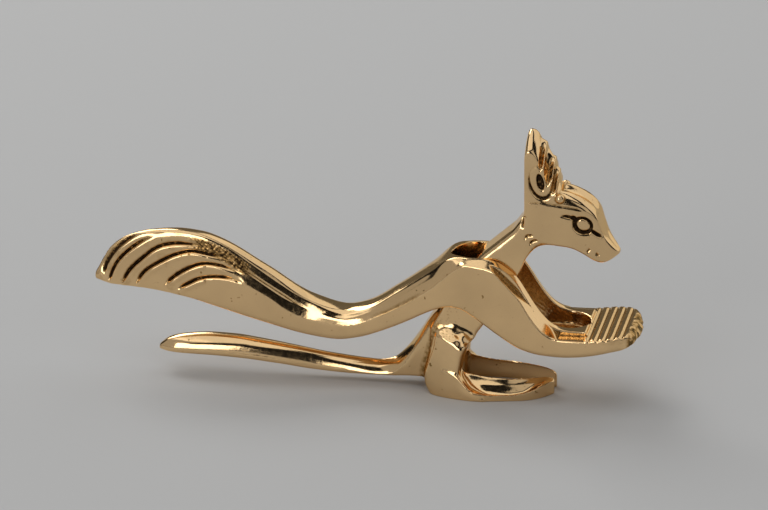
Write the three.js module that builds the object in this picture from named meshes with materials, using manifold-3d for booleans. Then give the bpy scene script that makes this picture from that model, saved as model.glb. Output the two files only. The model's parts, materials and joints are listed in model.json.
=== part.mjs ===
// Squirrel nutcracker: two cast brass levers crossed on one pin, like a pair of pliers.
// Millimetres, +Z up. X runs from the tail to the paws and Y across. It stands on Z = 0.
// Places are measured from the pivot in x, and in height from the pivot axis or from the ground.

import * as THREE from 'three';
import { mergeVertices } from 'three/addons/utils/BufferGeometryUtils.js';
import Module from 'manifold-3d';

const wasm = await Module();
wasm.setup();

// Pivot. Heights above the ground are drawn for DRAWN_PIVOT_HEIGHT and keep their share of the real one.
const PIVOT_HEIGHT = 42.5;
const DRAWN_PIVOT_HEIGHT = 42.5;
const PIN_DIAMETER = 6;
const PIN_CLEARANCE = 0.25;
const PIN_SIDES = 40;

// Upper lever: tail, back, forelegs and paws
const TAIL_LENGTH = 138;
const WAIST_BACK = 46;
const PAW_REACH = 62;
const TAIL_WIDTH = 7;
const WAIST_WIDTH = 14;
const PAW_WIDTH = 36;
const BELLY_EDGE = 1;
const FLANK_BULGE = 0.7;
const STRIP_CROWN = 0.6;

// Slot through the back, between the shoulders and the forelegs
const SLOT_WIDTH = 17.4;
const SLOT_TOP_BACK = 7.3;
const SLOT_BELLY_BACK = 21;
const SLOT_FRONT = 43.2;
const SLOT_FLOOR_START = 24;
const SLOT_FLOOR_WALL = 3.2;
const SLOT_RIM = 0.6;

// Wrists and nut pad
const WRIST_START = 29;
const WRIST_RIM = 3.5;
const WRIST_DEPTH = 16.7;
const PAD_START = 43.2;
const PAD_PITCH = 2.95;
const PAD_FIRST_GROOVE = 1.6;
const PAD_GROOVES = 5;
const PAD_GROOVE_DEPTH = 0.8;

// Lower lever: handle, tongue and neck, head, hind legs
const SIDE_CLEARANCE = 0.4;
const TONGUE_EDGE = 0.8;
const HANDLE_LENGTH = 114;
const HANDLE_ROOT = 34;
const HANDLE_END = -11.4;
const HANDLE_WIDTH = 7.4;
const HANDLE_EDGE = 0.8;
const HANDLE_BULGE = 0.35;
const HANDLE_CROWN = 0.4;
const LEG_WIDTH = 33;
const LEG_LEAN = 0.13;
const LEDGE_SLOPE = 46;
const LEDGE_TILT = 19;
const LEDGE_BACK = 7.6;
const LEDGE_INSET = 2.6;
const LEDGE_HEIGHT = 20.1;
const FOOT_GAP = 18.4;
const TOE_GAP = 4.4;
const FOOT_REACH = 30.6;
const FOOT_OUTER_HEIGHT = 2.7;
const FOOT_INNER_HEIGHT = 7;
const SNOUT_REACH = 53.7;
const EAR_TOP = 56.6;
const EAR_INSET = 0.1;
const EAR_CROWN = 4.2;
const EAR_STEPS = [
  [[31.5, 43.2], [30.5, 41.6]],
  [[30, 47.2], [28.7, 45.4]],
  [[26.8, 52.8], [24.4, 51.8]],
];

const SLOT_HALF = SLOT_WIDTH / 2;
const TONGUE_HALF = SLOT_HALF - SIDE_CLEARANCE;
const BORE_RADIUS = PIN_DIAMETER / 2 + PIN_CLEARANCE;

// A smooth value along x through a few stations, with no overshoot between them.
function smooth(stations) {
  const last = stations.length - 1;
  const rise = (i) => (stations[i + 1][1] - stations[i][1]) / (stations[i + 1][0] - stations[i][0]);
  const slopes = stations.map((station, i) => {
    if (i === 0) return rise(0);
    if (i === last) return rise(last - 1);
    const before = rise(i - 1);
    const after = rise(i);
    return before * after <= 0 ? 0 : (2 * before * after) / (before + after);
  });
  return (x) => {
    let i = 0;
    while (i < last - 1 && x > stations[i + 1][0]) i += 1;
    const [x0, v0] = stations[i];
    const [x1, v1] = stations[i + 1];
    const span = x1 - x0;
    const u = THREE.MathUtils.clamp((x - x0) / span, 0, 1);
    const blend = u * u * (3 - 2 * u);
    const lead = u * (1 - u) * (1 - u) * span * slopes[i];
    const trail = u * u * (u - 1) * span * slopes[i + 1];
    return v0 + (v1 - v0) * blend + lead + trail;
  };
}

// A closed body through rings that all have the same number of points.
function loft(rings) {
  const count = rings[0].length;
  const points = rings.flat();
  const faces = [];
  for (let ring = 0; ring < rings.length - 1; ring += 1) {
    for (let i = 0; i < count; i += 1) {
      const a = ring * count + i;
      const b = ring * count + ((i + 1) % count);
      faces.push(a, b, b + count, a, b + count, a + count);
    }
  }
  const cap = (start, turn) => {
    const middle = new THREE.Vector3();
    for (let i = 0; i < count; i += 1) middle.addScaledVector(points[start + i], 1 / count);
    const centre = points.push(middle) - 1;
    for (let i = 0; i < count; i += 1) {
      const next = start + ((i + 1) % count);
      if (turn) faces.push(centre, next, start + i);
      else faces.push(centre, start + i, next);
    }
  };
  cap(0, true);
  cap((rings.length - 1) * count, false);
  let volume = 0;
  for (let i = 0; i < faces.length; i += 3) {
    const [a, b, c] = [points[faces[i]], points[faces[i + 1]], points[faces[i + 2]]];
    volume += a.dot(new THREE.Vector3().crossVectors(b, c));
  }
  if (volume < 0) faces.reverse();
  const geometry = new THREE.BufferGeometry().setFromPoints(points);
  geometry.setIndex(faces);
  return geometry;
}

// A ring at x from the right half of a section, listed from its bottom to its top.
function mirroredRing(x, half) {
  const right = half.map(([y, z]) => new THREE.Vector3(x, y, z));
  const left = half.filter(([y]) => y > 0).reverse();
  return [...right, ...left.map(([y, z]) => new THREE.Vector3(x, -y, z))];
}

// Stations from start to end, closer together at both ends.
function stations(start, end, count) {
  const ease = (u) => 0.5 * u + 0.25 * (1 - Math.cos(Math.PI * u));
  return Array.from({ length: count + 1 }, (_, i) => start + (end - start) * ease(i / count));
}

function solid(geometry) {
  const bare = geometry.clone();
  bare.deleteAttribute('normal');
  bare.deleteAttribute('uv');
  const merged = mergeVertices(bare, 1e-4);
  const vertProperties = new Float32Array(merged.attributes.position.array);
  const triVerts = new Uint32Array(merged.index.array);
  return new wasm.Manifold(new wasm.Mesh({ numProp: 3, vertProperties, triVerts }));
}

function geometryOf(body) {
  const mesh = body.getMesh();
  const geometry = new THREE.BufferGeometry();
  geometry.setAttribute('position', new THREE.BufferAttribute(mesh.vertProperties, 3));
  geometry.setIndex(new THREE.BufferAttribute(mesh.triVerts, 1));
  geometry.computeVertexNormals();
  return geometry;
}

function box(low, high) {
  const size = high.map((value, i) => value - low[i]);
  const geometry = new THREE.BoxGeometry(...size);
  geometry.translate(...low.map((value, i) => value + size[i] / 2));
  return solid(geometry);
}

// A side outline in x and z, given thickness from y = low to y = high, with its edges bevelled.
function plate(shape, low, high, edge) {
  const geometry = new THREE.ExtrudeGeometry(shape, {
    depth: high - low - 2 * edge,
    curveSegments: 5,
    bevelEnabled: edge > 0,
    bevelThickness: edge,
    bevelSize: edge,
    bevelOffset: -edge,
    bevelSegments: 2,
  });
  geometry.rotateX(Math.PI / 2);
  geometry.translate(0, high - edge, 0);
  return solid(geometry);
}

function pinAlongY(radius, length) {
  return new THREE.CylinderGeometry(radius, radius, length, PIN_SIDES);
}

const brass = (color) => new THREE.MeshStandardMaterial({ color, metalness: 1, roughness: 0.22 });

// A lever's ring at x: upright sides up to a crease, bulging flanks, and a crowned strip on top.
function leverRing(x, { bottom, crease, top, crown, width, strip, edge, bulge }) {
  return mirroredRing(x, [
    [0, bottom],
    [width - edge, bottom],
    [width, bottom + edge],
    [width, crease],
    [(width + strip) / 2 + bulge, (crease + top - crown) / 2 + bulge],
    [strip, top - crown],
    [0, top],
  ]);
}

// Upper lever, in heights from the pivot axis.
// A place in the tail is a share of its way from the tip to the waist.
const tailX = (share) => -TAIL_LENGTH + share * (TAIL_LENGTH - WAIST_BACK);

const backLine = smooth([
  [tailX(0), -8.2], [tailX(0.02), -3.3], [tailX(0.06), 1.3], [tailX(0.12), 5.7], [tailX(0.2), 9],
  [tailX(0.33), 10.9], [tailX(0.42), 10.3], [tailX(0.5), 8.1], [tailX(0.68), -1.2],
  [tailX(0.88), -12.1], [tailX(1), -14.6], [-38.8, -12.9], [-27, -5.5], [-15, 3.2], [-9.6, 7.4],
  [-5, 9.5], [3, 10], [9, 8.5], [16.5, 3.4], [24, -6.5], [29, -12.4], [32, -14.2], [36, -14.9],
  [PAD_START - 0.8, -15], [PAD_START + 0.2, -16], [PAW_REACH - 10, -15.1], [PAW_REACH - 5, -14.7],
  [PAW_REACH - 2.5, -15.3], [PAW_REACH, -18],
]);

const outerEdge = smooth([
  [tailX(0), -8.3], [tailX(0.06), -2.5], [tailX(0.12), 0.5], [tailX(0.27), 1.5],
  [tailX(0.43), -2], [tailX(0.576), -5.9], [tailX(0.71), -11.8], [tailX(0.77), -15.6],
  [tailX(0.87), -18.8], [tailX(1), -19.6], [-32, -14], [-23, -8.7], [-12.3, -1], [-4.3, 6.5],
  [-1, 8.3], [5.7, 7.9], [11.5, 6.3], [14.6, 4], [17.7, 0], [22.5, -7.9], [27.1, -13.6],
  [31.5, -16.3], [36, -WRIST_DEPTH], [PAD_START + 0.8, -16.4], [PAW_REACH - 12, -15.6],
  [PAW_REACH - 5, -15.1], [PAW_REACH - 2, -16], [PAW_REACH, -18.2],
]);

const bellyLine = smooth([
  [tailX(0), -8.8], [tailX(0.06), -9.7], [tailX(0.19), -10.1], [tailX(0.38), -12.5],
  [tailX(0.474), -15.2], [tailX(0.672), -21.2], [tailX(0.868), -25], [tailX(0.97), -25.6],
  [-41, -24.2], [-31.5, -20.5], [-23, -16.3], [-15.2, -11.9], [-10, -9.5], [-6, -8.6],
  [-2.7, -8.9], [0.2, -10.2], [6.4, -14.1], [12.5, -18], [20, -21.9], [27.4, -23.4],
  [34.9, -23.6], [39.3, -23.3], [46, -22.3], [52.5, -20.7], [PAW_REACH - 3, -19.6],
  [PAW_REACH, -18.4],
]);

const halfWidth = smooth([
  [tailX(0), 0.8], [tailX(0.02), TAIL_WIDTH * 0.19], [tailX(0.06), TAIL_WIDTH * 0.28],
  [tailX(0.12), TAIL_WIDTH * 0.36], [tailX(0.33), TAIL_WIDTH / 2], [tailX(0.55), TAIL_WIDTH * 0.58],
  [tailX(0.97), WAIST_WIDTH / 2], [-30, WAIST_WIDTH / 2 + 2.2], [PAD_START - 1, PAW_WIDTH / 2],
  [PAW_REACH - 12, PAW_WIDTH / 2], [PAW_REACH - 6, PAW_WIDTH / 2 - 1.4],
  [PAW_REACH - 3, PAW_WIDTH / 2 - 4.2], [PAW_REACH - 1, PAW_WIDTH / 2 - 8.6], [PAW_REACH, 3],
]);

const stripHalf = smooth([
  [tailX(0), 0.4], [tailX(0.06), 0.9], [tailX(0.2), 2], [tailX(0.5), 2.5], [tailX(0.68), 3.2],
  [tailX(0.78), 3.8], [tailX(0.9), 4.8], [tailX(1), 4.6], [-27, 4.6], [-15, 6],
  [-SLOT_TOP_BACK, SLOT_HALF + SLOT_RIM], [24, SLOT_HALF + SLOT_RIM],
  [WRIST_START, SLOT_HALF + WRIST_RIM], [PAD_START - 0.8, SLOT_HALF + WRIST_RIM],
  [PAD_START + 0.4, PAW_WIDTH / 2 - 0.8], [PAW_REACH - 12, PAW_WIDTH / 2 - 0.8],
  [PAW_REACH - 6, PAW_WIDTH / 2 - 2.4], [PAW_REACH - 3, PAW_WIDTH / 2 - 5.4],
  [PAW_REACH - 1, PAW_WIDTH / 2 - 9.8], [PAW_REACH, 2],
]);

function upperSection(x) {
  const width = halfWidth(x);
  const strip = Math.min(stripHalf(x), width - 0.4);
  const top = backLine(x);
  const crown = x < -SLOT_TOP_BACK ? STRIP_CROWN * Math.min(1, strip / 2) : 0;
  const crease = Math.min(outerEdge(x), top - crown);
  const bottom = bellyLine(x);
  const edge = Math.min(BELLY_EDGE, width / 3, (crease - bottom) / 3);
  const bulge = x < -SLOT_TOP_BACK ? FLANK_BULGE * Math.min(1, (width - strip) / 4) : 0;
  return leverRing(x, { bottom, crease, top, crown, width, strip, edge, bulge });
}

function slotCut() {
  const rise = backLine(-SLOT_TOP_BACK) - bellyLine(-SLOT_BELLY_BACK);
  const slant = (SLOT_BELLY_BACK - SLOT_TOP_BACK) / rise;
  const arc = 8;
  const ringAt = (height) => {
    const back = -SLOT_TOP_BACK - slant * (backLine(-SLOT_TOP_BACK) - height);
    const points = [];
    for (let i = 0; i <= arc; i += 1) {
      const angle = -Math.PI / 2 + (Math.PI * i) / arc;
      const x = SLOT_FRONT - SLOT_HALF + SLOT_HALF * Math.cos(angle);
      points.push(new THREE.Vector3(x, SLOT_HALF * Math.sin(angle), height));
    }
    for (let i = 0; i <= arc; i += 1) {
      const angle = Math.PI / 2 + (Math.PI * i) / arc;
      const x = back + SLOT_HALF + SLOT_HALF * Math.cos(angle);
      points.push(new THREE.Vector3(x, SLOT_HALF * Math.sin(angle), height));
    }
    return points;
  };
  const floor = box(
    [SLOT_FLOOR_START, -SLOT_WIDTH, -PIVOT_HEIGHT],
    [PAW_REACH, SLOT_WIDTH, bellyLine(SLOT_FRONT - SLOT_HALF) + SLOT_FLOOR_WALL],
  );
  return solid(loft([ringAt(-PIVOT_HEIGHT), ringAt(PIVOT_HEIGHT)])).subtract(floor);
}

// A rebate in the outer top edge of one foreleg, behind the paw, with a sloping rear end.
function wristCut(side) {
  const start = backLine(WRIST_START);
  const shape = new THREE.Shape();
  shape.moveTo(WRIST_START, start);
  shape.lineTo(WRIST_START + start + WRIST_DEPTH, -WRIST_DEPTH);
  shape.lineTo(PAD_START, -WRIST_DEPTH);
  shape.lineTo(PAD_START, 0);
  shape.lineTo(WRIST_START, 0);
  const inner = SLOT_HALF + WRIST_RIM;
  const outer = PAW_WIDTH;
  return side > 0 ? plate(shape, inner, outer, 0) : plate(shape, -outer, -inner, 0);
}

function padGroove(x) {
  const top = backLine(x);
  const shape = new THREE.Shape();
  shape.moveTo(x - PAD_PITCH / 2, top + PAD_GROOVE_DEPTH);
  shape.lineTo(x + PAD_PITCH * 0.1, top - PAD_GROOVE_DEPTH);
  shape.lineTo(x + PAD_PITCH / 2, top + PAD_GROOVE_DEPTH);
  const geometry = new THREE.ExtrudeGeometry(shape, { depth: 2 * PAW_WIDTH, bevelEnabled: false });
  geometry.rotateX(Math.PI / 2);
  geometry.translate(0, PAW_WIDTH, 0);
  return solid(geometry);
}

function upperLever() {
  const rings = [
    ...stations(-TAIL_LENGTH, -WAIST_BACK, 26),
    ...stations(-WAIST_BACK, WRIST_START, 34).slice(1),
    ...stations(WRIST_START, PAD_START + 0.6, 8).slice(1),
    ...stations(PAD_START + 0.6, PAW_REACH, 10).slice(1),
  ].map(upperSection);
  let body = solid(loft(rings));
  body = body.subtract(slotCut());
  body = body.subtract(wristCut(1)).subtract(wristCut(-1));
  for (let i = 0; i < PAD_GROOVES; i += 1) {
    body = body.subtract(padGroove(PAD_START + PAD_FIRST_GROOVE + PAD_PITCH * i));
  }
  return body.subtract(solid(pinAlongY(BORE_RADIUS, 2 * PAW_WIDTH)));
}

// Lower lever: the handle, legs and feet in heights above the ground, the rest from the pivot axis.
const above = (height) => (height * PIVOT_HEIGHT) / DRAWN_PIVOT_HEIGHT - PIVOT_HEIGHT;
const handleX = (share) => -HANDLE_LENGTH + share * (HANDLE_LENGTH - HANDLE_ROOT);

const handleTop = smooth([
  [handleX(0), 7.6], [handleX(0.06), 10.6], [handleX(0.15), 12.7], [handleX(0.29), 13.5],
  [handleX(0.45), 13], [handleX(0.62), 11.1], [handleX(0.8), 8.7], [handleX(1), 7.5],
  [-28.3, 9.3], [-24, 13.1], [-18.5, 20.8], [-14.7, 27], [HANDLE_END, 31],
]);
const handleBottom = smooth([
  [handleX(0), 7.2], [handleX(0.09), 7.1], [handleX(0.21), 7.2], [handleX(0.38), 6.6],
  [handleX(0.55), 5.2], [handleX(0.71), 3.6], [handleX(0.89), 2.9], [-30, 3.2], [-20, 4.2],
  [HANDLE_END, 5],
]);
const handleHalf = smooth([
  [handleX(0), 0.6], [handleX(0.03), 2.6], [handleX(0.1), HANDLE_WIDTH / 2 - 0.2],
  [handleX(0.25), HANDLE_WIDTH / 2], [handleX(0.7), HANDLE_WIDTH / 2 - 0.4],
  [handleX(1), HANDLE_WIDTH / 2], [-24, HANDLE_WIDTH / 2 + 1.3], [-17, TONGUE_HALF - 1.2],
  [HANDLE_END, TONGUE_HALF - 0.2],
]);
const handleCrease = smooth([
  [handleX(0), 7.4], [handleX(0.1), 8.3], [handleX(0.25), 9.1], [handleX(0.43), 8.7],
  [handleX(0.77), 4.8], [handleX(1), 5.4], [-24, 9], [-18.5, 15.8], [HANDLE_END, 25],
]);
const handleStrip = smooth([
  [handleX(0), 0.3], [handleX(0.06), 1.6], [handleX(0.15), 2.2], [handleX(0.4), 1.8],
  [handleX(0.8), 1.5], [handleX(1), 1.8], [-24, 3], [-17, 5.2], [HANDLE_END, TONGUE_HALF - 1.6],
]);

function handleSection(x) {
  const width = handleHalf(x);
  const strip = Math.min(handleStrip(x), width - 0.3);
  const top = above(handleTop(x));
  const bottom = above(handleBottom(x));
  const crown = HANDLE_CROWN * Math.min(1, (top - bottom) / 4);
  const crease = Math.min(above(handleCrease(x)), top - crown);
  const edge = Math.min(HANDLE_EDGE, width / 3, (crease - bottom) / 2);
  const bulge = HANDLE_BULGE * Math.min(1, (width - strip) / 2);
  return leverRing(x, { bottom, crease, top, crown, width, strip, edge, bulge });
}

// Side outline of the tongue and neck, up to the back of the head.
function tongueShape() {
  const shape = new THREE.Shape();
  shape.moveTo(-14, above(5.4));
  shape.quadraticCurveTo(-3, above(5.4), -2, above(13));
  shape.quadraticCurveTo(-1, above(18), 2, above(21.7));
  shape.splineThru([
    new THREE.Vector2(10, -9.5),
    new THREE.Vector2(18, 4.2),
    new THREE.Vector2(20.9, 10.5),
    new THREE.Vector2(25, 14.9),
    new THREE.Vector2(31, 16.2),
  ]);
  shape.lineTo(34, 30);
  shape.lineTo(20, 30);
  shape.quadraticCurveTo(19.6, 26, 17.8, 23.6);
  shape.lineTo(15.1, 19.9);
  shape.lineTo(3.8, 10);
  shape.quadraticCurveTo(-5, 0.5, -10.2, -10.9);
  shape.lineTo(-14, above(24));
  return shape;
}

// The ear crest: its front climbs in three feather tips to the point, and its edges drop to both sides.
function earCrest() {
  const shape = new THREE.Shape();
  shape.moveTo(19.8, 26);
  shape.lineTo(33, 30);
  shape.lineTo(32.8, 36);
  for (const [tip, notch] of EAR_STEPS) {
    shape.lineTo(...tip);
    shape.lineTo(...notch);
  }
  shape.quadraticCurveTo(23.4, EAR_TOP, 21.8, EAR_TOP);
  shape.quadraticCurveTo(20.8, EAR_TOP, 20.8, EAR_TOP - 3);
  const half = TONGUE_HALF - EAR_INSET;
  const settings = { depth: 2 * half, steps: 10, curveSegments: 4, bevelEnabled: false };
  const geometry = new THREE.ExtrudeGeometry(shape, settings);
  geometry.rotateX(Math.PI / 2);
  geometry.translate(0, half, 0);
  const drop = smooth([[30, 0], [33, 0], [43, EAR_CROWN], [EAR_TOP, EAR_CROWN]]);
  const places = geometry.attributes.position;
  for (let i = 0; i < places.count; i += 1) {
    const height = places.getZ(i);
    const out = places.getY(i) / half;
    places.setZ(i, height - drop(height) * out * out);
  }
  return solid(geometry);
}

const headTop = smooth([
  [22, 34], [30, 35.6], [34, 35.3], [39, 33.6], [43, 31], [45.8, 27.6], [47, 23.4], [48.7, 19.4],
  [51.5, 15.2], [SNOUT_REACH, 12.6],
]);
const headBottom = smooth([
  [22, 17], [31, 16.1], [36.3, 15.6], [41.4, 13.6], [46, 10.5], [48.4, 9.6], [51, 10.3],
  [SNOUT_REACH, 12],
]);
const headHalf = smooth([
  [22, TONGUE_HALF], [36, TONGUE_HALF], [42, TONGUE_HALF - 0.4], [47, TONGUE_HALF - 1.8],
  [50, TONGUE_HALF - 3.4], [52.6, TONGUE_HALF - 5.2], [SNOUT_REACH, 1.4],
]);
const browEdge = smooth([
  [22, 31.4], [35, 30.9], [41, 30.1], [46, 26.6], [48.7, 18.6], [51.5, 14.6], [SNOUT_REACH, 12.4],
]);

function headSection(x) {
  const width = headHalf(x);
  const top = headTop(x);
  const bottom = headBottom(x);
  const brow = Math.min(browEdge(x), top - 0.2);
  const edge = Math.min(TONGUE_EDGE, (brow - bottom) / 4);
  const groove = THREE.MathUtils.clamp((top - brow) * 0.35, 0, 1.2);
  return mirroredRing(x, [
    [0, bottom],
    [width - edge, bottom],
    [width, bottom + edge],
    [width, brow],
    [width * 0.86, brow + (top - brow) * 0.75],
    [width * 0.5, top],
    [0, top - groove],
  ]);
}

// Plan of a hind leg's outer side at the ground: a rounded heel that widens forwards.
const heelOuter = smooth([
  [-15, LEG_WIDTH / 2 - 5], [-12, LEG_WIDTH / 2 - 3.5], [-6, LEG_WIDTH / 2 - 1.3], [0, LEG_WIDTH / 2 - 0.2],
  [4, LEG_WIDTH / 2],
]);

// Hind leg on one side, from the tongue outwards, with a sloping ledge at the thigh.
function hindLeg(side) {
  const shape = new THREE.Shape();
  shape.moveTo(-12.7, above(0));
  shape.lineTo(2, above(0));
  shape.lineTo(2, above(7.5));
  shape.quadraticCurveTo(-2.4, above(8.6), -2.2, above(13));
  shape.quadraticCurveTo(-1.6, above(18), 2, above(21.7));
  shape.quadraticCurveTo(-1, above(27.5), -7, above(27));
  shape.quadraticCurveTo(-12.5, above(25.5), -13, above(18));
  shape.lineTo(-14.6, above(5));
  shape.quadraticCurveTo(-14.8, above(0), -12.7, above(0));
  const inner = TONGUE_HALF - 2;
  const outer = LEG_WIDTH / 2;
  const leg = side > 0 ? plate(shape, inner, outer, 0) : plate(shape, -outer, -inner, 0);
  return leg.intersect(legSpace(side)).subtract(ledgeCut(side));
}

// The space that a hind leg is kept to: round at the heel, and leaning inwards as it rises.
function legSpace(side) {
  const ringAt = (height) => {
    const outer = stations(-16, 6, 12).map((x) => [x, heelOuter(x) - LEG_LEAN * height]);
    const plan = [[-16, 0], ...outer, [6, 0]];
    return plan.map(([x, y]) => new THREE.Vector3(x, side * y, above(height)));
  };
  return solid(loft([ringAt(-1), ringAt(30)]));
}

// Takes the thigh away above a plane that falls outwards and forwards.
function ledgeCut(side) {
  const reach = 2 * LEG_WIDTH;
  const geometry = new THREE.BoxGeometry(reach, reach, reach);
  geometry.translate(0, 0, reach / 2);
  geometry.rotateX(THREE.MathUtils.degToRad(-LEDGE_SLOPE * side));
  geometry.rotateY(THREE.MathUtils.degToRad(LEDGE_TILT));
  geometry.translate(-LEDGE_BACK, side * (LEG_WIDTH / 2 - LEDGE_INSET), above(LEDGE_HEIGHT));
  return solid(geometry);
}

// The feet turn inwards, so that the toes all but meet.
const footOuter = smooth([
  [-8, heelOuter(-8)], [-3, heelOuter(-3)], [4, LEG_WIDTH / 2], [15, LEG_WIDTH / 2 - 1.9],
  [FOOT_REACH - 7.6, LEG_WIDTH / 2 - 4.3], [FOOT_REACH - 3.4, LEG_WIDTH / 2 - 7.9],
  [FOOT_REACH - 1, TOE_GAP / 2 + 3.4], [FOOT_REACH, TOE_GAP / 2 + 1],
]);
const footInner = smooth([
  [-8, FOOT_GAP / 2], [12, FOOT_GAP / 2], [FOOT_REACH - 6.6, TOE_GAP / 2 + 3.8], [FOOT_REACH, TOE_GAP / 2],
]);
const footOuterTop = smooth([
  [-8, 9], [-3, 8], [0, 5], [3, FOOT_OUTER_HEIGHT + 0.3], [FOOT_REACH - 15, FOOT_OUTER_HEIGHT],
  [FOOT_REACH - 6, FOOT_OUTER_HEIGHT + 1.4], [FOOT_REACH - 1, FOOT_OUTER_HEIGHT + 2.9],
  [FOOT_REACH, FOOT_OUTER_HEIGHT + 2],
]);
const footInnerTop = smooth([
  [-8, 10], [0, 8.6], [8, FOOT_INNER_HEIGHT + 0.5], [FOOT_REACH - 6, FOOT_INNER_HEIGHT + 0.2],
  [FOOT_REACH - 1, FOOT_INNER_HEIGHT - 0.5], [FOOT_REACH, FOOT_INNER_HEIGHT - 1.6],
]);

function foot(side) {
  const rings = stations(-8, FOOT_REACH, 18).map((x) => {
    const inner = footInner(x);
    const outer = footOuter(x);
    const low = footOuterTop(x);
    const high = footInnerTop(x);
    const span = outer - inner;
    const edge = Math.min(0.6, span / 4);
    const section = [
      [inner, 0],
      [outer - edge, 0],
      [outer, edge],
      [outer, low],
      [inner + span * 0.45, low + (high - low) * 0.28],
      [inner + edge, high],
      [inner, high - edge],
    ];
    return section.map(([y, height]) => new THREE.Vector3(x, side * y, height - PIVOT_HEIGHT));
  });
  return solid(loft(rings));
}

function lowerLever() {
  let body = plate(tongueShape(), -TONGUE_HALF, TONGUE_HALF, TONGUE_EDGE);
  body = body.add(earCrest());
  body = body.add(solid(loft(stations(-HANDLE_LENGTH, HANDLE_END, 34).map(handleSection))));
  body = body.add(solid(loft(stations(22, SNOUT_REACH, 18).map(headSection))));
  for (const side of [1, -1]) {
    body = body.add(hindLeg(side)).add(foot(side));
  }
  return body.subtract(solid(pinAlongY(BORE_RADIUS, 2 * PAW_WIDTH)));
}

// The pin ends just under the tapering sides of the shoulders.
function pivotPin() {
  const length = 2 * halfWidth(-PIN_DIAMETER / 2) - PIN_CLEARANCE;
  return pinAlongY(PIN_DIAMETER / 2, length);
}

function named(name, geometry, material) {
  const mesh = new THREE.Mesh(geometry, material);
  mesh.name = name;
  return mesh;
}

const squirrel = new THREE.Group();
squirrel.position.set((TAIL_LENGTH - PAW_REACH) / 2, 0, PIVOT_HEIGHT);
squirrel.add(
  named('upper_lever', geometryOf(upperLever()), brass(0xc9a468)),
  named('lower_lever', geometryOf(lowerLever()), brass(0xc29c60)),
  named('pivot_pin', pivotPin(), brass(0xb8935a)),
);

export default squirrel;
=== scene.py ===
# Squirrel nutcracker: the fine brass surfaces of both levers and their pin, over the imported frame.
# Shapes are in millimetres from the pivot: x towards the paws, y across, z up. Blender gets metres.

import json
import math

import bpy
import numpy as np
import openvdb
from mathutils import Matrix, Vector

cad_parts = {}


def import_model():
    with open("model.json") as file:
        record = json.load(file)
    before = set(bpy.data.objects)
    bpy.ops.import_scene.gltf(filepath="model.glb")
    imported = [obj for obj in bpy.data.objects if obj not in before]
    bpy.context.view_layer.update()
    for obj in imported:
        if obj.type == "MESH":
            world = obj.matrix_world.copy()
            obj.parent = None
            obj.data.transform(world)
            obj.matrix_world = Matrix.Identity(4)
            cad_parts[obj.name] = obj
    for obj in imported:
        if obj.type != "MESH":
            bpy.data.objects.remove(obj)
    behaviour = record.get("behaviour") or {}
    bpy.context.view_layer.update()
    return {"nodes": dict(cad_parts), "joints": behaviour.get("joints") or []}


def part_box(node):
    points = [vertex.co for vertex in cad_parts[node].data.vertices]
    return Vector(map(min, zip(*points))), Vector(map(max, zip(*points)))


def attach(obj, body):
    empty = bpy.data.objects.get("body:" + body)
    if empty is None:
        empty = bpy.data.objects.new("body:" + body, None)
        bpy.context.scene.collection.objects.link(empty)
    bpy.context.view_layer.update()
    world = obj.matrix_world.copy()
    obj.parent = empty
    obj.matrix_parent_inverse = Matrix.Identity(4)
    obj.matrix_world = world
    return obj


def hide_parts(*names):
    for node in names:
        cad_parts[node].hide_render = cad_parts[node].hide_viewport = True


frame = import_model()

MM = 0.001
PIVOT = np.array(frame["joints"][0]["pos_m"])
GROUND = -PIVOT[2] / MM


def reach(node):
    """Lowest and highest corner of a node, in millimetres from the pivot."""
    low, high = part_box(node)
    return (np.array(low) - PIVOT) / MM, (np.array(high) - PIVOT) / MM


UPPER_LOW, UPPER_HIGH = reach("upper_lever")
LOWER_LOW, LOWER_HIGH = reach("lower_lever")

# Upper lever: main sizes. The tail's end cap lies past the tip of the solid.
TAIL_TIP = UPPER_LOW[0]
TAIL_CAP = 0.6
PAW_TIP = UPPER_HIGH[0]
PAW_HALF = UPPER_HIGH[1]
WAIST = -46
SLOT_HALF = 8.7
SLOT_BACK = -7.3
SLOT_FRONT = 43.2
SLOT_SLANT = 0.52
SLOT_FLOOR_START = 24
SLOT_FLOOR = -20.4
WRIST_START = 29
WRIST_FLOOR = -16.7
WRIST_INNER = 12.2
WRIST_OVERLAP = 0.2
PAD_START = 43.4
PAD_FIRST_GROOVE = 1.4
PAD_PITCH = 2.95
PAD_GROOVES = 5
PAD_DEPTH = 0.55
PAD_GROOVE_SHARE = 0.2
PAD_SOFT_SHARE = 0.2

# Upper lever: how far its edges are rounded
BELLY_ROUND = 2.4
EDGE_ROUND = 0.8
TIP_EDGE_ROUND = 1.2
END_ROUND = 1.5
WRIST_ROUND = 0.5
SLOT_RIM_ROUND = 1
SLOT_STEP_ROUND = 1
SLOT_FLOOR_ROUND = 3

# Upper lever: how its faces depart from flat ones, and its uneven skin with the size of its lumps
BACK_CROWN = 0.6
STRIP_MARGIN = 0.4
NARROW_STRIP = 2
NARROW_FLANK = 3
TIP_BULGE = 0.2
TAIL_SINK = 0.26
WAIST_SWELL = 0.56
WAIST_STREAK = 0.05
LOCK_DEPTH_SHARE = 0.4
SLOT_SKIN = 0.05
SLOT_LUMP = 2.4
PAW_FRONT_SKIN = 0.3
PAW_FRONT_LUMP = 4.6
ROUGH_SKIN = 0.05
ROUGH_LUMP = 1.7

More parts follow.
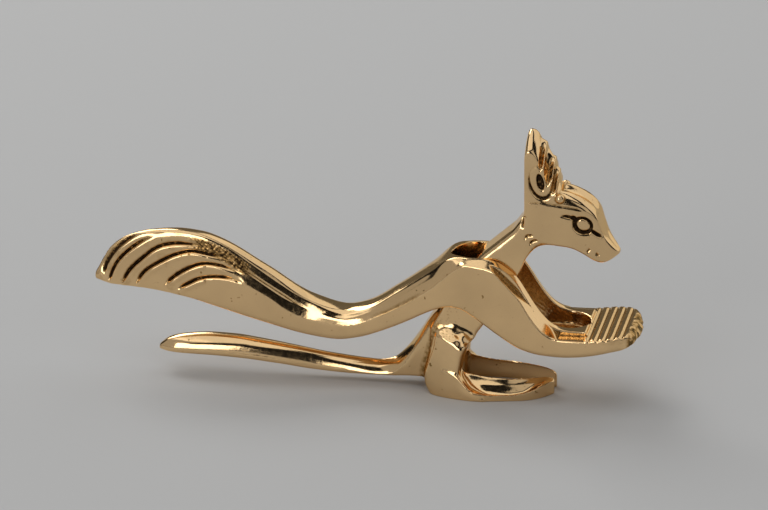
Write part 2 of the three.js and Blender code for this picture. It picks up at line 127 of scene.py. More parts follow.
# Upper lever: stretches along x over which its forms come in or go out
BEFORE_SLOT = (SLOT_BACK - 6, SLOT_BACK)
PAD_EDGE = (PAD_START - 0.5, PAD_START + 0.3)
TIP_EDGE_END = (-118, -94)
LOCKS_START = (TAIL_TIP, TAIL_TIP + 3.5)
TAIL_SINK_START = (-98, -86)
WAIST_SWELL_START = (-60, -50)
WAIST_STREAK_START = (-62, -48)
WAIST_STREAK_END = (-16, -9)
ROUGH_START = (-106, -98)
ROUGH_END = (-84, -77)
PAW_FRONT_START = (57, 60.5)

# Upper lever: the same for depths below the back, for a height and for a distance from the middle
LOCKS_TOP = (0, 1.4)
ROUGH_TOP = (1.2, 2.4)
ROUGH_BOTTOM = (5.5, 7.5)
SLOT_SKIN_TOP = (-16, -9)
PAW_FRONT_MIDDLE = (1, 5)

# Lower lever: main sizes. The handle's tip lies past that of the solid.
HANDLE_LONGER = 1
HANDLE_TIP = LOWER_LOW[0] - HANDLE_LONGER
HANDLE_ROOT = -34
HANDLE_END = -11.4
HEAD_BACK = 21
SNOUT_TIP = LOWER_HIGH[0]
TONGUE_HALF = 8.3
EAR_HALF = 8.2
EAR_DROP = 6
EAR_BEND = 1.6
LEG_HALF = LOWER_HIGH[1]
LEG_INNER = 6.3
LEG_LEAN = 0.13
ANKLE_CUT = 7
FOOT_BACK = -8
TOE_TIP = 30.6
FOOT_HOLLOW = 2.6
TROUGH_DEPTH = 1.5
TROUGH_SHARE = 0.7

# Lower lever: how far its edges are rounded
TONGUE_ROUND = 2.6
NECK_ROUND = 2
NECK_FRONT_SHARPER = 0.6
HANDLE_BELLY_ROUND = 2
HANDLE_FLANK_ROUND = 1.6
HANDLE_TOP_ROUND = 0.9
HANDLE_END_ROUND = 1
JAW_ROUND = 2.2
BROW_ROUND = 0.8
HEAD_END_ROUND = 1
EAR_ROUND = 1
LEG_ROUND = 3.2
LEG_INNER_ROUND = 1
LEDGE_ROUND = 0.9
FOOT_ROUND = 0.8
TOE_ROUND = 1.2
SOLE_ROUND = 0.6

# Lower lever: how softly its parts run into each other
HANDLE_JOIN = 1.5
HEAD_JOIN = 0.8
EAR_JOIN = 0.6
BEAD_JOIN = 0.4
FOOT_JOIN = 2.5
LEG_JOIN = 2.4

# Lower lever: how its faces depart from flat ones
HANDLE_CROWN = 1.3
HANDLE_BULGE = 0.5
HEAD_CREST_SHARE = 0.5
HEAD_SLOPE_SHARE = 0.2
HEAD_VALLEY_SHARE = 0.35
HEAD_VALLEY = 1.3
HEAD_DOME_POWER = 4
HEAD_LEAST_RISE = 0.2
HANDLE_STRIP_MARGIN = 0.2
HANDLE_LEAST_RISE = 0.3
FOOT_INNER_SHARE = 1.2

# Lower lever: stretches along x over which its forms come in or go out
HANDLE_CROWN_START = (HANDLE_TIP, HANDLE_TIP + 14)
HANDLE_CROWN_END = (-26, -12)
NECK_FRONT = (9, 13)
ANKLE_FRONT = (-5, 0)
TROUGH_START = (2, 8)
TROUGH_END = (20, 27)

# Lower lever: the same for heights, with the ankle's above the ground, and for distances from the middle
NECK_START = (4, 10)
NECK_FRONT_END = (10, 15)
ANKLE_TOP = (8, 12)
EAR_ROOT = (32, 44)
MARKS_BOTTOM = (9, 10)
MARKS_SIDE = (3, 5.5)
EAR_SCOOP = (0.5, 4)

# Uneven skin: share of each of its two sizes of lumps, and the ratio between the sizes
UNEVEN_SHARE = 0.65
UNEVEN_RATIO = 1.62


# Tools for the fields, which are negative inside the metal and in millimetres near the surface
def smooth_max(a, b, blend):
    """The larger of two values, rounded where they differ by less than blend."""
    share = np.maximum(blend - np.abs(a - b), 0) / blend
    return np.maximum(a, b) + share ** 3 * blend / 6


def smooth_min(a, b, blend):
    return -smooth_max(-a, -b, blend)


def fade(value, start, end):
    """0 before start and 1 after end, with a soft change between them."""
    share = np.clip((value - start) / (end - start), 0, 1)
    return share * share * (3 - 2 * share)


def before(value, start, end):
    """1 before start and 0 after end, with a soft change between them."""
    return fade(-value, -end, -start)


def within(value, rise, fall):
    """1 between two soft edges, each given by where its change starts and ends."""
    return fade(value, *rise) * before(value, *fall)


def bell(value, width):
    """1 at zero, with a soft fall on both sides."""
    return np.exp(-(value / width) ** 2)


def blur(table, width):
    """A table softened along its first axis, with its ends held."""
    count = max(1, int(3 * width))
    weights = np.exp(-0.5 * (np.arange(-count, count + 1) / width) ** 2)
    weights = weights / weights.sum()
    edges = [(count, count)] + [(0, 0)] * (table.ndim - 1)
    padded = np.pad(table, edges, mode="edge")
    return sum(w * padded[i:i + len(table)] for i, w in enumerate(weights))


def lumps(x, y, z, size):
    """Uneven casting skin: -1 to 1, with lumps about as far apart as size."""
    turn = 2 * math.pi / size
    return (
        np.sin(turn * (x + 0.31 * z)) * np.sin(turn * (0.9 * y - 0.23 * x) + 1.3)
        * np.sin(turn * (1.1 * z + 0.2 * y) + 0.7)
    )


def uneven(x, y, z, size):
    """Lumps of two sizes together, which show no rows."""
    return UNEVEN_SHARE * lumps(x, y, z, size) + UNEVEN_SHARE * lumps(z, x, y, UNEVEN_RATIO * size)


class Curve:
    """A value along x through a few stations, with no overshoot, softened to show no kinks."""

    STEP = 0.1
    MARGIN = 8

    def __init__(self, stations, soften=1.2):
        at, value = np.array(stations, dtype=float).T
        rise = np.diff(value) / np.diff(at)
        turn = rise[:-1] * rise[1:]
        total = np.where(turn > 0, rise[:-1] + rise[1:], 1)
        slope = np.concatenate([rise[:1], np.where(turn > 0, 2 * turn / total, 0), rise[-1:]])
        self.x = np.arange(at[0] - self.MARGIN, at[-1] + self.MARGIN, self.STEP)
        inside = np.clip(self.x, at[0], at[-1])
        i = np.clip(np.searchsorted(at, inside) - 1, 0, len(at) - 2)
        span = at[i + 1] - at[i]
        u = (inside - at[i]) / span
        v = 1 - u
        level = value[i] * v * v * (1 + 2 * u) + value[i + 1] * u * u * (3 - 2 * u)
        lean = span * u * v * (slope[i] * v - slope[i + 1] * u)
        self.value = blur(level + lean, soften / self.STEP)
        self.rise = np.gradient(self.value, self.STEP)

    def __call__(self, x):
        return np.interp(x, self.x, self.value)

    def slope(self, x):
        return np.interp(x, self.x, self.rise)

    def steep(self, x):
        return np.sqrt(1 + self.slope(x) ** 2)


def quad(start, control, end, count=14):
    """Points of a bent stretch between two points, without its start."""
    u = np.linspace(0, 1, count + 1)[1:, None]
    points = (1 - u) ** 2 * np.array(start) + 2 * u * (1 - u) * np.array(control) + u * u * np.array(end)
    return [tuple(point) for point in points]


def spline(points, count=8):
    """Points of a smooth open line through a few points."""
    knots = np.array(points, dtype=float)
    knots = np.vstack([2 * knots[0] - knots[1], knots, 2 * knots[-1] - knots[-2]])
    u = np.linspace(0, 1, count, endpoint=False)[:, None]
    line = []
    for a, b, c, d in zip(knots, knots[1:], knots[2:], knots[3:]):
        bend = (2 * a - 5 * b + 4 * c - d) * u ** 2 + (3 * b - a - 3 * c + d) * u ** 3
        line.append(b + 0.5 * ((c - a) * u + bend))
    return [tuple(point) for point in np.vstack(line + [knots[-2:-1]])]


class SideTable:
    """Values over a window of the side view in x and z, read with interpolation."""

    STEP = 0.16

    def __init__(self, low, high):
        self.low = np.array(low, dtype=float)
        self.x = np.arange(self.low[0], high[0], self.STEP)[:, None]
        self.z = np.arange(self.low[1], high[1], self.STEP)[None, :]
        self.table = np.zeros((self.x.size, self.z.size))

    def soften(self, width):
        width = width / self.STEP
        self.table = blur(blur(self.table, width).T, width).T

    def __call__(self, x, z):
        u = np.clip((x - self.low[0]) / self.STEP, 0, self.table.shape[0] - 1.01)
        v = np.clip((z - self.low[1]) / self.STEP, 0, self.table.shape[1] - 1.01)
        i, j = u.astype(int), v.astype(int)
        u, v = u - i, v - j
        near = self.table[i, j] * (1 - v) + self.table[i, j + 1] * v
        far = self.table[i + 1, j] * (1 - v) + self.table[i + 1, j + 1] * v
        return near * (1 - u) + far * u


class Outline(SideTable):
    """Distance to a closed side outline, negative inside, with softened corners."""

    MARGIN = 5

    def __init__(self, points, soften):
        corners = np.array(points, dtype=float)
        super().__init__(corners.min(axis=0) - self.MARGIN, corners.max(axis=0) + self.MARGIN)
        x, z = self.x, self.z
        nearest = np.full(self.table.shape, np.inf)
        inside = np.zeros(self.table.shape, dtype=bool)
        for (ax, az), (bx, bz) in zip(corners, np.roll(corners, -1, axis=0)):
            dx, dz = bx - ax, bz - az
            if dx == 0 and dz == 0:
                continue
            u = np.clip(((x - ax) * dx + (z - az) * dz) / (dx * dx + dz * dz), 0, 1)
            nearest = np.minimum(nearest, (x - ax - u * dx) ** 2 + (z - az - u * dz) ** 2)
            if dz != 0:
                inside ^= ((az > z) != (bz > z)) & (x < ax + (z - az) * dx / dz)
        self.table = np.sqrt(nearest) * np.where(inside, -1, 1)
        self.soften(soften)


class Relief(SideTable):
    """How deep a side is carved. Where grooves and cuts cross, the deepest one counts."""

    REACH = 4

    def cut(self, depth):
        self.table = np.maximum(self.table, depth)

    def trace(self, points):
        """The window near a line, with distance from the line, which side, and share of its way."""
        line = np.array(spline(points))
        steps = np.linalg.norm(np.diff(line, axis=0), axis=1)
        way = np.concatenate([[0], np.cumsum(steps)]) / steps.sum()
        first = np.maximum(((line.min(axis=0) - self.REACH - self.low) / self.STEP).astype(int), 0)
        last = np.maximum(((line.max(axis=0) + self.REACH - self.low) / self.STEP).astype(int), 1)
        window = (slice(first[0], last[0]), slice(first[1], last[1]))
        x, z = self.x[window[0]], self.z[:, window[1]]
        nearest = np.full((x.size, z.size), np.inf)
        side = np.zeros_like(nearest)
        share = np.zeros_like(nearest)
        for i, ((ax, az), (bx, bz)) in enumerate(zip(line, line[1:])):
            dx, dz = bx - ax, bz - az
            u = np.clip(((x - ax) * dx + (z - az) * dz) / (dx * dx + dz * dz), 0, 1)
            gap = (x - ax - u * dx) ** 2 + (z - az - u * dz) ** 2
            closer = gap < nearest
            nearest = np.where(closer, gap, nearest)
            side = np.where(closer, np.sign((z - az) * dx - (x - ax) * dz), side)
            share = np.where(closer, way[i] + u * (way[i + 1] - way[i]), share)
        return window, np.sqrt(nearest), side, share

    def groove(self, points, depth, width, taper):
        """A carved line that runs out at both ends, over the taper's share of its way."""
        window, gap, _, share = self.trace(points)
        ends = fade(share, 0, taper) * fade(1 - share, 0, taper)
        self.table[window] = np.maximum(self.table[window], depth * ends * bell(gap, width))


# Upper lever: tail, back, shoulders, forelegs and paws
def tail(share):
    """Place along x between the tail's tip and the waist."""
    return TAIL_TIP + share * (WAIST - TAIL_TIP)


# Heights of the middle of the back, of the pad, of the crease along each side and of the underside
back_line = Curve([
    (tail(0), -7.2), (tail(0.008), -4.3), (tail(0.025), -0.9), (tail(0.05), 2.5), (tail(0.09), 5.8),
    (tail(0.13), 7.9), (tail(0.22), 10.4), (tail(0.33), 11.4), (tail(0.42), 10.6), (tail(0.5), 8.2),
    (tail(0.68), -1.2), (tail(0.88), -12.1), (tail(1), -14.6), (-38.8, -12.9), (-27, -5.5), (-15, 3.2),
    (-9.6, 7.4), (-5, 9.5), (3, 10), (10, 9.3), (13, 7.6), (16.7, 4.8), (19.5, 1.2), (22, -3), (26, -9),
    (29, -12.4), (32, -14.2), (36, -14.9), (44, -15), (PAW_TIP, -15),
])
pad_line = Curve([(36, -16.4), (44, -16), (52, -15.1), (57, -14.7), (59.5, -15.3), (PAW_TIP, -18)], 0.6)
outer_edge = Curve([
    (tail(0), -8.3), (tail(0.06), -2.5), (tail(0.12), 0.5), (tail(0.27), 1.5), (tail(0.43), -2),
    (tail(0.576), -5.9), (tail(0.71), -11.8), (tail(0.77), -15.6), (tail(0.87), -18.8), (tail(1), -19.6),
    (-32, -14), (-23, -8.7), (-12.3, -1), (-4.3, 6.5), (-1, 8.3), (5.7, 7.9), (11.5, 6.3), (14.6, 4),
    (17.7, 0), (22.5, -7.9), (27.1, -13.6), (31.5, -16.3), (36, -16.7), (44, -16.4), (50, -15.6),
    (57, -15.1), (60, -16), (PAW_TIP, -18.2),
], 0.9)
belly_line = Curve([
    (tail(0), -9.6), (tail(0.06), -11), (tail(0.19), -11.4), (tail(0.38), -13.8), (tail(0.474), -16),
    (tail(0.672), -20.8), (tail(0.868), -24.8), (tail(0.97), -25.6), (-41, -24.2), (-31.5, -20.5),
    (-23, -16.3), (-15.2, -11.9), (-10, -9.5), (-6, -8.6), (-2.7, -8.9), (0.2, -10.2), (6.4, -14.1),
    (12.5, -18), (20, -21.9), (27.4, -23.4), (34.9, -23.6), (39.3, -23.3), (46, -22.3), (52.5, -20.7),
    (59, -19.6), (PAW_TIP, -18.4),
])
# Half the width at the crease, and of the strip along the middle of the back
half_width = Curve([
    (tail(0), 1.4), (tail(0.02), 1.8), (tail(0.06), 2.4), (tail(0.12), 3), (tail(0.33), 4.5),
    (tail(0.55), 5.6), (tail(0.97), 7.1), (-30, 9.2), (42.2, PAW_HALF), (50, PAW_HALF),
    (56, PAW_HALF - 1.4), (59, PAW_HALF - 4.2), (61, PAW_HALF - 8.6), (PAW_TIP, 3),
], 0.7)
strip_half = Curve([
    (tail(0), 0.4), (tail(0.06), 0.9), (tail(0.2), 2), (tail(0.5), 3.1), (tail(0.68), 3.6),
    (tail(0.78), 4), (tail(0.9), 4.8), (tail(1), 4.6), (-27, 4.6), (-15, 6), (SLOT_BACK, 9.3), (24, 9.3),
    (32, WRIST_INNER), (42.4, WRIST_INNER), (43.6, PAW_HALF - 0.8), (50, PAW_HALF - 0.8),
    (56, PAW_HALF - 2.4), (59, PAW_HALF - 5.4), (61, PAW_HALF - 9.8), (PAW_TIP, 2),
], 0.7)

# Overlapping locks of the tail: each line is the upper edge of a lock, from its tip to its root
TAIL_LOCKS = [
    [(-134.8, -7), (-133.2, -2.2), (-129.5, 3.1), (-124.1, 7.6), (-119.8, 9.8)],
    [(-133, -9.9), (-130.2, -3), (-125.9, 2.1), (-120.1, 6.6), (-114.9, 9.1)],
    [
        (-128.4, -10.6), (-125, -4.9), (-120.7, -0.4), (-115.5, 4), (-109.4, 6.1), (-102.1, 6.2),
        (-94.8, 5.2),
    ],
    [
        (-123, -10.2), (-119.5, -5), (-114.3, -1.1), (-108.2, 2.2), (-102.1, 3.8), (-94.8, 2.7),
        (-86.3, 0.6),
    ],
    [(-111.9, -9.2), (-108.2, -5.8), (-103.3, -2.5), (-97.9, -0.5), (-91.2, -1), (-82.6, -3.6)],
    [(-107, -10.5), (-103, -8.1), (-99.1, -6.1), (-93.6, -5.1), (-88.1, -5.3), (-82.6, -6.8)],
]
# Fine lines that carry the locks on towards the waist
TAIL_STREAKS = [
    [(-93, 3.6), (-84, -0.9), (-74, -7), (-64, -12.9), (-56, -16.4)],
    [(-90, 6.2), (-82, 2.2), (-72, -4.2), (-62, -10.4), (-55, -14)],
]
# Window of the side view that holds them, and how they are cut, with tip and root as shares of a lock
TAIL_WINDOW = (TAIL_TIP - 2, -22), (-48, 14)
LOCK_STEP = 0.75
LOCK_FADE = 2.2
LOCK_EDGE = (-0.35, 0.25)
LOCK_TIP = (-0.02, 0.1)
LOCK_ROOT = (0, 0.35)
LOCK_CREST = 0.35
LOCK_CREST_WIDTH = 0.9
LOCK_GROOVE = 0.5
LOCK_GROOVE_PLACE = 0.35
LOCK_GROOVE_WIDTH = 0.4
LOCK_SOFTEN = 0.12
STREAK_CUT = {"depth": 0.3, "width": 0.4, "taper": 0.35}


def tail_relief():
    """Each lock stands proud of the next one above it, with a groove at the step between them."""
    relief = Relief(*TAIL_WINDOW)
    for points in TAIL_LOCKS:
        window, gap, side, share = relief.trace(points)
        ends = fade(share, *LOCK_TIP) * fade(1 - share, *LOCK_ROOT)
        above = np.where(side > 0, gap, 0)
        below = np.where(side > 0, 0, gap)
        step = LOCK_STEP * np.exp(-above / LOCK_FADE) * fade(gap * side, *LOCK_EDGE)
        crest = LOCK_CREST * bell(below - LOCK_CREST_WIDTH, LOCK_CREST_WIDTH) * (side <= 0)
        groove = LOCK_GROOVE * bell(gap * side - LOCK_GROOVE_PLACE, LOCK_GROOVE_WIDTH)
        relief.table[window] += ends * (step - crest + groove)
    for points in TAIL_STREAKS:
        relief.groove(points, **STREAK_CUT)
    relief.soften(LOCK_SOFTEN)
    return relief


tail_locks = tail_relief()


def slot_field(x, y, z):
    """The slanted slot between the cheeks and the forelegs, with its step up to the floor in front."""
    back = SLOT_BACK - SLOT_SLANT * (back_line(SLOT_BACK) - z)
    middle = np.clip(x, back + SLOT_HALF, SLOT_FRONT - SLOT_HALF)
    rough = SLOT_SKIN * lumps(x, y, z, SLOT_LUMP) * before(z, *SLOT_SKIN_TOP)
    walls = np.hypot(x - middle, y) - SLOT_HALF - rough
    floor = smooth_max(SLOT_FLOOR_START - x, z - SLOT_FLOOR, SLOT_STEP_ROUND)
    return smooth_max(walls, -floor, SLOT_FLOOR_ROUND)


def wrist_field(x, y, z):
    """The recess outside the rails of the slot, from a slope of 45 degrees to the pad."""
    slope = (back_line(WRIST_START) - (x - WRIST_START) - z) / math.sqrt(2)
    ends = np.maximum(slope, x - PAD_START + WRIST_OVERLAP)
    return np.maximum(np.maximum(WRIST_FLOOR - z, WRIST_INNER - y), ends)


def pad_grooves(x):
    """Depth of the even grooves across the pad."""
    phase = (x - PAD_START - PAD_FIRST_GROOVE) / PAD_PITCH
    begun = fade(phase + 0.5, 0, PAD_SOFT_SHARE)
    inside = begun * fade(PAD_GROOVES - 0.5 - phase, 0, PAD_SOFT_SHARE)
    return PAD_DEPTH * inside * bell(phase - np.round(phase), PAD_GROOVE_SHARE)


def rough_tail(x, z):
    """1 on the unpolished stretch of the tail, where the upper locks run out, and 0 elsewhere."""
    drop = back_line(x) - z
    return within(x, ROUGH_START, ROUGH_END) * within(drop, ROUGH_TOP, ROUGH_BOTTOM)


def upper_field(x, y, z):
    """Upright walls and a rounded belly, with flanks that lean in from the creases to the back's strip."""
    y = np.abs(y)
    pad = fade(x, *PAD_EDGE)
    top = back_line(x) * (1 - pad) + (pad_line(x) - pad_grooves(x)) * pad
    steep = back_line.steep(x) * (1 - pad) + pad
    half = half_width(x)
    strip = np.minimum(strip_half(x), half - STRIP_MARGIN)
    behind_slot = before(x, *BEFORE_SLOT)
    crown = BACK_CROWN * behind_slot * np.minimum(1, strip / NARROW_STRIP)
    crease = np.minimum(outer_edge(x), top - crown)
    bulge = TIP_BULGE - TAIL_SINK * fade(x, *TAIL_SINK_START) + WAIST_SWELL * fade(x, *WAIST_SWELL_START)
    bulge = bulge * behind_slot * np.minimum(1, (half - strip) / NARROW_FLANK)

    wall = (y - half) / half_width.steep(x)
    belly = (belly_line(x) - z) / belly_line.steep(x)
    rise = top - crown - crease
    run = half - strip
    length = np.sqrt(rise * rise + run * run)
    along = np.clip(((half - y) * run + (z - crease) * rise) / length ** 2, 0, 1)
    lean = (half_width.slope(x) * rise + 0.5 * (outer_edge.slope(x) + back_line.slope(x)) * run) / length
    flank = ((y - half) * rise + (z - crease) * run) / length - bulge * 4 * along * (1 - along)
    streaks = WAIST_STREAK * np.sin(4 * math.pi * along)
    streaks = streaks * within(x, WAIST_STREAK_START, WAIST_STREAK_END)
    flank = flank / np.sqrt(1 + lean * lean) + streaks
    ridge = (z - top + crown * (y / strip) ** 2) / steep

    edge = EDGE_ROUND + TIP_EDGE_ROUND * before(x, *TIP_EDGE_END)
    body = smooth_max(wall, belly, BELLY_ROUND)
    body = smooth_max(body, flank, edge)
    body = smooth_max(body, ridge, edge)
    body = smooth_max(body, np.maximum(TAIL_TIP - TAIL_CAP - x, x - PAW_TIP), END_ROUND)
    metal = strip + run * np.clip((top - z) / np.maximum(rise, 1), 0, 1)
    carved = tail_locks(x, z) * fade(top - z, *LOCKS_TOP) * fade(x, *LOCKS_START)
    carved = np.minimum(carved, LOCK_DEPTH_SHARE * metal)
    paw_front = PAW_FRONT_SKIN * fade(x, *PAW_FRONT_START) * fade(y, *PAW_FRONT_MIDDLE)
    paw_front = paw_front * uneven(x, y, z, PAW_FRONT_LUMP)
    rough = ROUGH_SKIN * rough_tail(x, z) * lumps(x, y, z, ROUGH_LUMP)
    body = body + carved + paw_front + rough
    body = smooth_max(body, -wrist_field(x, y, z), WRIST_ROUND)
    return smooth_max(body, -slot_field(x, y, z), SLOT_RIM_ROUND)


# Lower lever: handle, tongue and neck, head and ear, hind legs and feet
def handle(share):
    """Place along x between the handle's tip and its root."""
    return HANDLE_TIP + share * (HANDLE_ROOT - HANDLE_TIP)


# Heights above the ground of the handle's top, underside and crease, and half its widths
handle_top = Curve([
    (handle(0), 8.4), (handle(0.025), 10.9), (handle(0.06), 12.3), (handle(0.11), 13.4),
    (handle(0.25), 14.6), (handle(0.35), 14.4), (handle(0.45), 13.5), (handle(0.62), 11.5),
    (handle(0.8), 9.3), (handle(1), 8.1), (-28.3, 9.3), (-24, 13.1), (-18.5, 20.8), (-14.7, 27),
    (HANDLE_END, 31),
])
handle_bottom = Curve([
    (handle(0), 7.2), (handle(0.09), 7.1), (handle(0.21), 7.2), (handle(0.38), 6.6), (handle(0.55), 5.2),
    (handle(0.71), 3.6), (handle(0.89), 2.9), (-30, 3.2), (-20, 4.2), (HANDLE_END, 5),
])
handle_crease = Curve([
    (handle(0), 7.4), (handle(0.1), 8.3), (handle(0.25), 9.1), (handle(0.43), 8.7), (handle(0.77), 4.8),
    (handle(1), 5.4), (-24, 9), (-18.5, 15.8), (HANDLE_END, 25),
])
handle_half = Curve([
    (handle(0), 1.2), (handle(0.03), 3.2), (handle(0.1), 4.5), (handle(0.22), 5.1), (handle(0.45), 4.7),
    (handle(0.72), 3.8), (handle(0.85), 3.8), (handle(1), 4.3), (-24, 5.2), (-17, 7.1), (HANDLE_END, 8.1),
])
handle_strip = Curve([
    (handle(0), 0.6), (handle(0.06), 2), (handle(0.15), 2.9), (handle(0.4), 2.9), (handle(0.8), 2.2),
    (handle(1), 2.2), (-24, 3), (-17, 5), (HANDLE_END, 6.5),
])

# Heights of the head's top, jaw and brow, and half its width
head_top = Curve([
    (20, 33.6), (30, 35.6), (34, 35.3), (39, 33.6), (43, 31), (45.8, 27.6), (47, 23.4), (48.7, 19.4),
    (51.5, 15.2), (SNOUT_TIP, 12.6),
], 0.6)
head_bottom = Curve([
    (20, 17.4), (31, 15.5), (36.3, 15), (41.4, 12.7), (45.4, 10), (47.8, 9.1), (50.8, 9.9),
    (SNOUT_TIP, 12),
])
brow_edge = Curve([
    (20, 31.4), (35, 30.9), (41, 30.1), (46, 26.6), (48.7, 18.6), (51.5, 14.6), (SNOUT_TIP, 12.4),
], 0.6)
head_half = Curve([
    (20, 8.3), (36, 8.3), (42, 7.9), (47, 6.5), (50, 4.9), (52.6, 3.1), (SNOUT_TIP, 1.4),
], 0.6)

tongue_outline = Outline(
    [(-14, GROUND + 5.4)]
    + quad((-14, GROUND + 5.4), (-3, GROUND + 5.4), (-2, GROUND + 13))
    + quad((-2, GROUND + 13), (-1, GROUND + 18), (2, GROUND + 21.7))
    + spline([(2, GROUND + 21.7), (10, -9.5), (18, 4.2), (20.9, 10.5), (25, 14.4), (31, 15.6)])
    + [(34, 30), (20, 30)]
    + quad((20, 30), (19.6, 26), (17.8, 23.6))
    + [(15.1, 19.9), (3.8, 10)]
    + quad((3.8, 10), (-5, 0.5), (-10.2, -10.9))
    + [(-14, GROUND + 24)],
    0.7,
)


def ear(front):
    """Side outline of the ear, with its front edge from the brow up to the root of the top lobe."""
    base = [(19.8, 26), (33, 30), (32.6, 36)]
    top = quad(front[-1], (23.6, 56.9), (21.4, 56.9)) + quad((21.4, 56.9), (20.1, 56.9), (19.7, 53.6))
    return Outline(base + front + top, 0.2)


# The front edge steps down lightly along the middle of the ear and is scooped deeply on its sides
ear_middle = ear([
    (31.9, 39.6), (31.7, 42.3), (30.5, 43.4), (30.2, 46.9), (29, 47.4), (27.4, 50), (26.9, 52.4),
    (24.6, 53.6),
])
ear_side = ear([
    (31.4, 38.6), (31.6, 42.4), (30.1, 40), (29.6, 42.6), (30.2, 47), (28, 44), (27, 47.6), (26.9, 52.5),
    (25.4, 49.4), (24.9, 53),
])
BEAD = (32.7, 7.8, 33.6)
BEAD_RADIUS = 1.7

leg_outline = Outline(
    [(-11, GROUND - 2), (8, GROUND - 2), (7, GROUND + 0.8)]
    + spline([
        (7, GROUND + 0.8), (2, GROUND + 2.4), (-1, GROUND + 5), (-2.6, GROUND + 8.4), (-2.2, GROUND + 13),
    ])
    + quad((-2.2, GROUND + 13), (-1.6, GROUND + 18), (2, GROUND + 21.7))
    + quad((2, GROUND + 21.7), (-1, GROUND + 27.5), (-7, GROUND + 27))
    + quad((-7, GROUND + 27), (-12.5, GROUND + 25.5), (-13, GROUND + 18))
    + [(-16, GROUND + 8)]
    + quad((-16, GROUND + 8), (-16.9, GROUND + 1.5), (-11, GROUND - 2)),
    0.5,
)
heel_outer = Curve([
    (-15, LEG_HALF - 5), (-12, LEG_HALF - 3.5), (-6, LEG_HALF - 1.3), (0, LEG_HALF - 0.2), (4, LEG_HALF),
])
# The ledge on the outside of the leg: its middle above the ground, its slopes and its bend
LEDGE = (-6, LEG_HALF - 2.6, 19.3)
LEDGE_SLOPE = math.tan(math.radians(46))
LEDGE_TILT = math.tan(math.radians(5))
LEDGE_BEND = 0.045
LEDGE_SKIN, LEDGE_LUMP = 0.2, 6

# Outer and inner sides of the foot, and the heights of its edges above the ground
foot_outer = Curve([
    (FOOT_BACK, LEG_HALF - 4), (-3, LEG_HALF - 1.7), (0, LEG_HALF - 0.5), (4, LEG_HALF),
    (15, LEG_HALF - 1.9), (23, LEG_HALF - 4.3), (27.2, LEG_HALF - 7.9), (29.6, 5.6), (TOE_TIP, 3.2),
])
foot_inner = Curve([(FOOT_BACK, 9.2), (12, 9.2), (24, 6), (TOE_TIP, 2.2)])
foot_outer_top = Curve([
    (FOOT_BACK, 9), (-3, 8), (0, 5), (3, 3), (15.6, 2.7), (24.6, 4.1), (29.6, 5.6), (TOE_TIP, 4.7),
])
foot_inner_top = Curve([(FOOT_BACK, 10), (0, 8.6), (8, 7.5), (24.6, 7.2), (29.6, 6.5), (TOE_TIP, 5.4)])

# Carving of the head, within its window of the side view
HEAD_WINDOW = (14, 8), (56, 58)
EYE = (41.1, 24.1)
EYE_TILT = math.radians(-29)
EYE_SIZE = (3.1, 2.6)
EYE_DEPTH = 0.9
EYE_LINE = 0.42
EYE_LINE_WIDER = 0.3
EYE_LINE_FADE = (-1.5, 1.5)
EYE_TAILS = [
    ([(39.4, 25.2), (38, 26.4), (35.4, 27.1), (32, 27.2)], {"depth": 0.9, "width": 0.5, "taper": 0.5}),
    ([(39, 26), (37.6, 26.7), (36.2, 26.9)], {"depth": 0.9, "width": 0.8, "taper": 0.4}),
    ([(43.2, 22.9), (45.2, 21.2), (46.8, 20), (48.4, 19)], {"depth": 0.9, "width": 0.55, "taper": 0.4}),
]
BROW_CREASE = [(24.5, 33.2), (28, 31.7), (33, 31), (38, 30.4), (42, 29.3)]
BROW_CUT = {"depth": 0.28, "width": 0.5, "taper": 0.2}
CONCHA = (25.6, 39.6)
CONCHA_TILT = math.radians(14)
CONCHA_SIZE = (3.9, 6.2)
CONCHA_DEPTH = 0.6
CONCHA_LINE = 0.5
CONCHA_TOP_SHARE = 0.25
CONCHA_SLANT = 0.6
CONCHA_FADE = (-2, 5)
CONCHA_SLOT = (1.2, 2.9)
CONCHA_SLOT_DEPTH = 0.9
CONCHA_SLOT_EDGE = (0.75, 1.25)
SMALL_MARKS = [
    [(19.9, 17.2), (20.7, 18.8), (22.2, 19.3), (23.6, 19)],
    [(21.7, 15), (22.4, 16.6), (23.9, 17.4), (25.4, 17.2)],
    [(43.8, 15.4), (43, 14.4), (42.2, 13.7)],
    [(45.5, 13.6), (46.2, 12.8), (46.9, 12.1)],
    [(19.2, 26.2), (19.4, 24), (19.3, 21.4)],
]
MARK_CUT = {"depth": 0.45, "width": 0.42, "taper": 0.3}


def ellipse(x, z, middle, tilt, size):
    """Share of the way out to a turned ellipse: 1 on it."""
    u = (x - middle[0]) * math.cos(tilt) + (z - middle[1]) * math.sin(tilt)
    v = (z - middle[1]) * math.cos(tilt) - (x - middle[0]) * math.sin(tilt)
    return np.sqrt((u / size[0]) ** 2 + (v / size[1]) ** 2)


